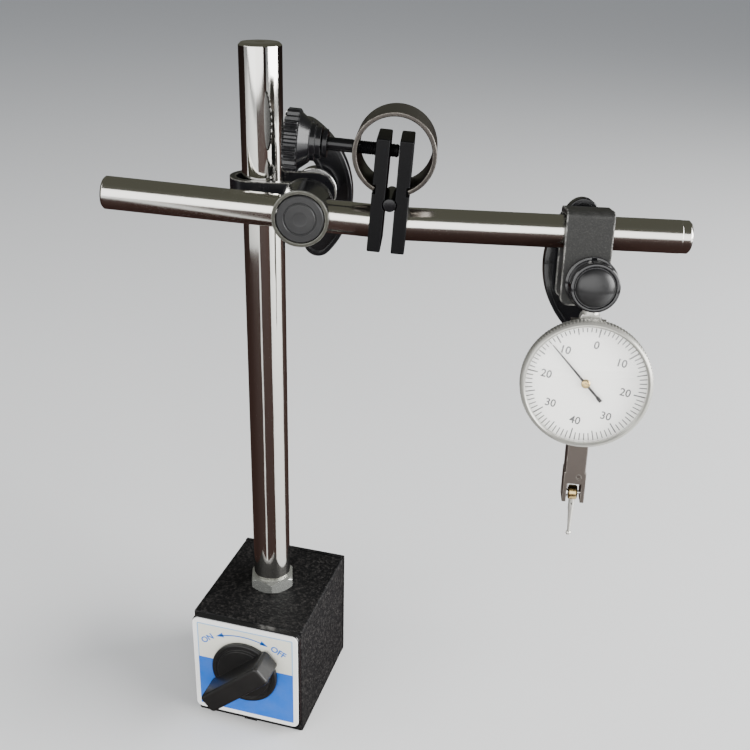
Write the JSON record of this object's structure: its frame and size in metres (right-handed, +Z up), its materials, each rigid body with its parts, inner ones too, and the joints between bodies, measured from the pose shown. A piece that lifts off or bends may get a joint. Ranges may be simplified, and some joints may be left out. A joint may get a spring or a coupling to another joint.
{
  "type": "dial test indicator stand",
  "caption": "Dial test indicator with a pivoting stylus, on a jointed stand with fine adjustment, wing-lever clamps and a switchable magnetic base.",
  "frame": {"origin": "middle of the base's underside, on the post's axis", "axes": "+Z up along the post, -Y out of the base's knob face, +X to the right seen from the knob side"},
  "size_m": [0.2087, 0.0787, 0.29],
  "materials": {
    "crinkle_paint": "fine black crinkle paint",
    "gloss_paint": "gloss black",
    "printed_plate": "printed, satin",
    "brass": "satin",
    "chrome": "polished",
    "bright_steel": "bright",
    "magnet": "sintered",
    "black_plastic": "semi gloss",
    "black_paint": "satin black",
    "dark_steel": "black oxide",
    "grey_paint": "satin dark grey",
    "spring_steel": "heat blued, polished",
    "satin_nickel": "satin nickel plate",
    "champagne": "satin champagne",
    "dial_white": "matte white, printed",
    "clear_window": "clear",
    "ruby": "polished"
  },
  "bodies": {
    "base": {"pole_left": "crinkle_paint", "pole_right": "crinkle_paint", "spacer_top": "brass", "spacer_bottom": "brass", "front_cover": "gloss_paint", "label_plate": "printed_plate", "rotor_bush": "brass", "rear_cover": "crinkle_paint", "rear_screw_1": "bright_steel", "rear_screw_2": "bright_steel", "rear_screw_3": "bright_steel", "rear_screw_4": "bright_steel", "foot_nut": "chrome"},
    "switch": {"rotor_shoe_left": "bright_steel", "rotor_shoe_right": "bright_steel", "rotor_magnet": "magnet", "rotor_shaft": "bright_steel", "rotor_rear_disc": "bright_steel", "switch_knob": "black_plastic"},
    "post": {"post": "chrome"},
    "post_clip": {"post_clip": "black_paint"},
    "cross_clamp": {"clamp_sleeve": "grey_paint", "clamp_pin": "dark_steel", "clamp_washer": "bright_steel"},
    "upper_lever": {"upper_lever": "black_plastic", "upper_lever_nut": "bright_steel"},
    "inner_arm": {"inner_arm": "chrome", "inner_leg": "dark_steel", "hinge_pin": "dark_steel", "ring_spring": "spring_steel"},
    "adjust_screw": {"adjust_screw": "dark_steel"},
    "adjust_knob": {"adjust_knob": "black_plastic", "adjust_collar": "dark_steel"},
    "outer_arm": {"outer_leg": "dark_steel", "outer_arm": "chrome"},
    "arm_bracket": {"arm_bracket": "grey_paint"},
    "holder": {"holder_sleeve": "dark_steel", "holder_pin": "dark_steel", "holder_washer": "bright_steel"},
    "lower_lever": {"lower_lever": "black_plastic", "lower_lever_nut": "bright_steel"},
    "indicator": {"indicator_stem": "bright_steel", "indicator_case": "satin_nickel", "back_cover": "satin_nickel", "cover_screw_1": "bright_steel", "cover_screw_2": "bright_steel", "dial_housing": "satin_nickel", "jewel_left": "ruby", "jewel_right": "ruby"},
    "bezel": {"bezel": "champagne", "dial_face": "dial_white", "crystal": "clear_window"},
    "needle": {"needle": "black_paint", "needle_arbor": "bright_steel"},
    "crown_gear": {"crown_gear": "brass"},
    "measuring_lever": {"inner_lever": "bright_steel", "pivot_pin": "bright_steel"},
    "stylus": {"stylus_knuckle": "brass", "stylus": "bright_steel"}
  },
  "joints": [
    {"name": "switch_turn", "type": "hinge", "parent": "base", "child": "switch", "pos_m": [0, 0, 0.031], "axis": [0, -1, 0], "range_deg": [0, 90]},
    {"name": "post_turn", "type": "hinge", "parent": "base", "child": "post", "pos_m": [0, 0, 0.055], "axis": [0, 0, 1], "continuous": true},
    {"name": "clamp_height", "type": "slide", "parent": "post", "child": "post_clip", "axis": [0, 0, 1], "range_m": [-0.06, 0.046]},
    {"name": "arm_tilt", "type": "hinge", "parent": "post_clip", "child": "cross_clamp", "pos_m": [0.01762, 0.00388, 0.23346], "axis": [0.2149, -0.9766, 0], "range_deg": [-30, 60]},
    {"name": "upper_lever_turn", "type": "hinge", "parent": "cross_clamp", "child": "upper_lever", "pos_m": [0.0148, 0.01667, 0.23346], "axis": [-0.2149, 0.9766, 0], "range_deg": [0, 90]},
    {"name": "arm_reach", "type": "slide", "parent": "cross_clamp", "child": "inner_arm", "axis": [0.9743, 0.2144, -0.0685], "range_m": [-0.012, 0.058]},
    {"name": "adjust_travel", "type": "slide", "parent": "inner_arm", "child": "adjust_screw", "axis": [0.9743, 0.2144, -0.0685], "range_m": [-0.00076, 0.00076]},
    {"name": "adjust_turn", "type": "hinge", "parent": "adjust_screw", "child": "adjust_knob", "pos_m": [0.02414, -0.01746, 0.2594], "axis": [0.9743, 0.2144, -0.0685], "range_deg": [-540, 540]},
    {"name": "fine_adjust", "type": "hinge", "parent": "inner_arm", "child": "outer_arm", "pos_m": [0.05335, -0.01103, 0.24], "axis": [-0.2149, 0.9766, 0], "range_deg": [-2.5, 2.5]},
    {"name": "bracket_roll", "type": "hinge", "parent": "outer_arm", "child": "arm_bracket", "pos_m": [0.12436, 0.00459, 0.23053], "axis": [0.9766, 0.2149, -0.0077], "range_deg": [-45, 45]},
    {"name": "holder_swivel", "type": "hinge", "parent": "arm_bracket", "child": "holder", "pos_m": [0.12472, 0.00237, 0.21399], "axis": [0.214, -0.9675, 0.1349], "range_deg": [-60, 60]},
    {"name": "lower_lever_turn", "type": "hinge", "parent": "holder", "child": "lower_lever", "pos_m": [0.12246, 0.01262, 0.21256], "axis": [-0.214, 0.9675, -0.1349], "range_deg": [0, 90]},
    {"name": "indicator_turn", "type": "hinge", "parent": "holder", "child": "indicator", "pos_m": [0.12751, -0.01021, 0.21574], "axis": [-0.0215, 0.1333, 0.9908], "range_deg": [-60, 60]},
    {"name": "bezel_turn", "type": "hinge", "parent": "indicator", "child": "bezel", "pos_m": [0.12823, -0.01468, 0.18255], "axis": [0.1443, -0.9803, 0.135], "continuous": true},
    {"name": "needle_turn", "type": "hinge", "parent": "indicator", "child": "needle", "pos_m": [0.12823, -0.01468, 0.18255], "axis": [0.1443, -0.9803, 0.135], "range_deg": [-223, 137]},
    {"name": "lever_swing", "type": "hinge", "parent": "indicator", "child": "measuring_lever", "pos_m": [0.12919, -0.02062, 0.13836], "axis": [0.9893, 0.1459, 0.0019], "range_deg": [-1.7, 1.05]},
    {"name": "crown_turn", "type": "hinge", "parent": "indicator", "child": "crown_gear", "pos_m": [0.12813, -0.01399, 0.18245], "axis": [0.9893, 0.1459, 0.0019], "range_deg": [-85, 85]},
    {"name": "stylus_set", "type": "hinge", "parent": "measuring_lever", "child": "stylus", "pos_m": [0.12919, -0.02062, 0.13836], "axis": [0.9893, 0.1459, 0.0019], "range_deg": [-95, 95]}
  ],
  "couplings": [
    {"joint": "adjust_travel", "follows": "adjust_turn", "m_per_rad": 0.000079577},
    {"joint": "fine_adjust", "follows": "adjust_turn", "ratio": 0.0045999},
    {"joint": "needle_turn", "follows": "lever_swing", "ratio": 129.87},
    {"joint": "crown_turn", "follows": "lever_swing", "ratio": -48.237}
  ]
}
